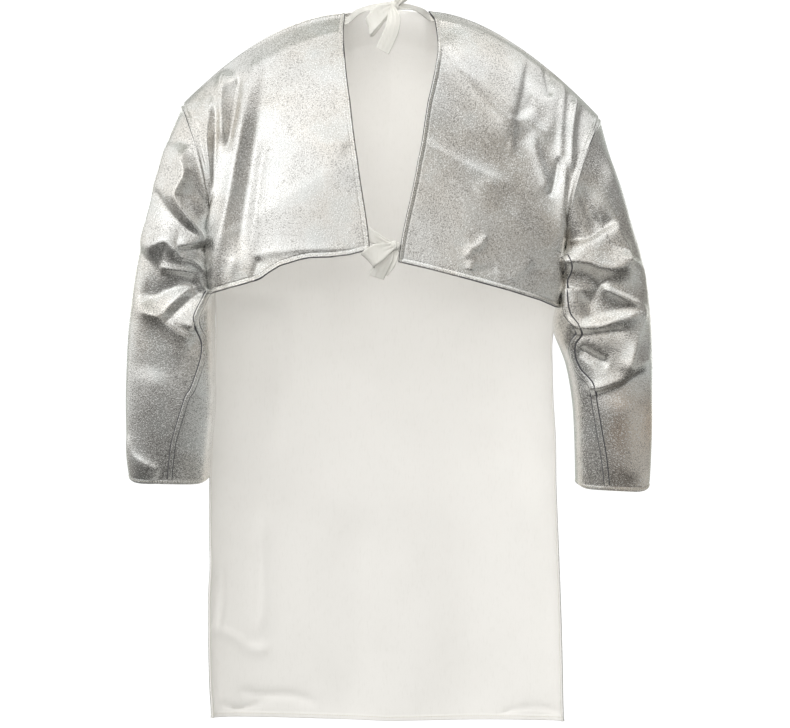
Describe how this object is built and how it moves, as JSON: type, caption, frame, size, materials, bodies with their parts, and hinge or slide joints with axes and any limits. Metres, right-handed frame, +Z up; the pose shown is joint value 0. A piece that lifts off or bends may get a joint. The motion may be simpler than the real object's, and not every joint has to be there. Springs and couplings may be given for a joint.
{
  "type": "heat-resistant protective coat",
  "caption": "Open-back aluminised coat with a long front panel, short back panels, set-in sleeves and tie tapes, in the form it has when worn.",
  "frame": {"origin": "middle of the seat on the shoulders, level with the side of the neck", "axes": "+Z up, along the coat's length; +Y to the wearer's front; +X to the wearer's right"},
  "size_m": [0.7445, 0.2665, 1.0514],
  "materials": {
    "aluminised_cloth": "satin foil on woven cloth",
    "backing_cloth": "off-white woven cloth, foil on its outer face",
    "tie_tape": "off-white woven cotton tape"
  },
  "bodies": {
    "root": {"front_panel": "backing_cloth", "back_panel_left": "aluminised_cloth", "back_panel_right": "aluminised_cloth", "sleeve_left": "aluminised_cloth", "sleeve_right": "aluminised_cloth", "neck_tie_left": "tie_tape", "neck_tie_right": "tie_tape", "back_tie_left": "tie_tape", "back_tie_right": "tie_tape"}
  },
  "joints": []
}
